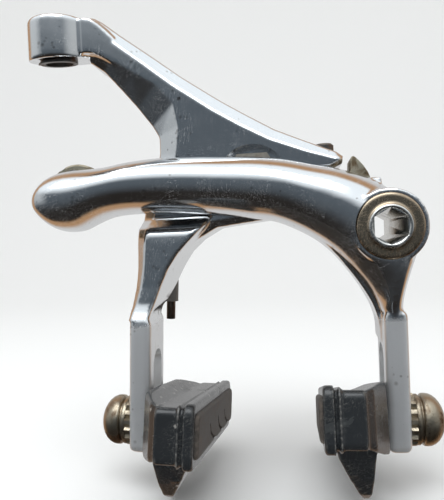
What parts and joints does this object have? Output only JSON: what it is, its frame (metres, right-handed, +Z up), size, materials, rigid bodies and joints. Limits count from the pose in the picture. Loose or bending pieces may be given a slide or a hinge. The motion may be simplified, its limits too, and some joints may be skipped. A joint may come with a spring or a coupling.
{
  "type": "rim brake caliper",
  "caption": "Dual-pivot side-pull rim brake caliper with forged arms, slotted legs, winged brake shoes, hollow side pivot and a shouldered mounting bolt.",
  "frame": {"origin": "on the centre bolt's axis, in the mounting face of the spacer", "axes": "+Z up, -Y towards the front of the brake, +Y along the mounting bolt towards the frame"},
  "size_m": [0.0831, 0.0666, 0.1013],
  "materials": {
    "arm_alloy": "polished",
    "link_alloy": "satin",
    "pivot_steel": "worn chrome",
    "zinc_steel": "tarnished",
    "dark_steel": "blackened",
    "worn_steel": "corroded",
    "bright_steel": "bright",
    "dome_steel": "tarnished",
    "bronze": "plain",
    "black_plastic": "matte",
    "holder_black": "worn satin",
    "pad_rubber": "worn"
  },
  "bodies": {
    "root": {"centre_bolt": "zinc_steel", "centre_nut": "zinc_steel", "centre_washers": "bright_steel", "link_plate": "link_alloy", "lock_washer": "zinc_steel", "mount_spacer": "link_alloy", "side_pivot_bolt": "pivot_steel", "side_pivot_washer": "black_plastic", "side_pivot_nut": "zinc_steel", "return_spring": "dark_steel"},
    "rear_lever": {"rear_arm": "arm_alloy", "centre_bush": "bronze", "cable_insert": "dark_steel", "spring_sleeve": "black_plastic"},
    "front_lever": {"front_arm": "arm_alloy", "side_pivot_bush": "bronze", "anchor_bolt": "zinc_steel", "anchor_disc": "worn_steel", "anchor_plate": "bright_steel", "contact_plate": "worn_steel"},
    "screw": {"centring_screw": "dark_steel"},
    "left_clamp": {"left_tooth_washer": "dome_steel"},
    "left_shoe": {"left_holder": "holder_black", "left_pad": "pad_rubber", "left_stud": "bright_steel", "left_shoe_washer": "bright_steel", "left_dome_nut": "dome_steel"},
    "right_clamp": {"right_tooth_washer": "dome_steel"},
    "right_shoe": {"right_holder": "holder_black", "right_pad": "pad_rubber", "right_stud": "bright_steel", "right_shoe_washer": "bright_steel", "right_dome_nut": "dome_steel"}
  },
  "joints": [
    {"name": "rear_arm_hinge", "type": "hinge", "parent": "root", "child": "rear_lever", "pos_m": [0, -0.0136, 0], "axis": [0, -1, 0], "range_deg": [0, 5.8], "stiffness_Nm_per_rad": 1.5, "springref_deg": -17.19, "deforming": ["return_spring"]},
    {"name": "front_arm_hinge", "type": "hinge", "parent": "root", "child": "front_lever", "pos_m": [0.02568, -0.0218, -0.0109], "axis": [0, 1, 0], "range_deg": [0, 8]},
    {"name": "centring_screw_turn", "type": "hinge", "parent": "rear_lever", "child": "screw", "pos_m": [0.0149, -0.01675, 0.003], "axis": [0, 0, 1], "range_deg": [-180, 180]},
    {"name": "left_shoe_height", "type": "slide", "parent": "rear_lever", "child": "left_clamp", "axis": [0.0506, 0, 0.9987], "range_m": [0, 0.0119]},
    {"name": "left_shoe_turn", "type": "hinge", "parent": "left_clamp", "child": "left_shoe", "pos_m": [-0.02175, -0.024, -0.0494], "axis": [0.9987, 0, -0.0506], "range_deg": [-5, 20]},
    {"name": "right_shoe_height", "type": "slide", "parent": "front_lever", "child": "right_clamp", "axis": [0, 0, 1], "range_m": [0, 0.0119]},
    {"name": "right_shoe_turn", "type": "hinge", "parent": "right_clamp", "child": "right_shoe", "pos_m": [0.0242, -0.024, -0.0488], "axis": [1, 0, 0], "range_deg": [-5, 20]}
  ],
  "couplings": [
    {"joint": "front_arm_hinge", "follows": "rear_arm_hinge", "ratio": 1.36}
  ]
}
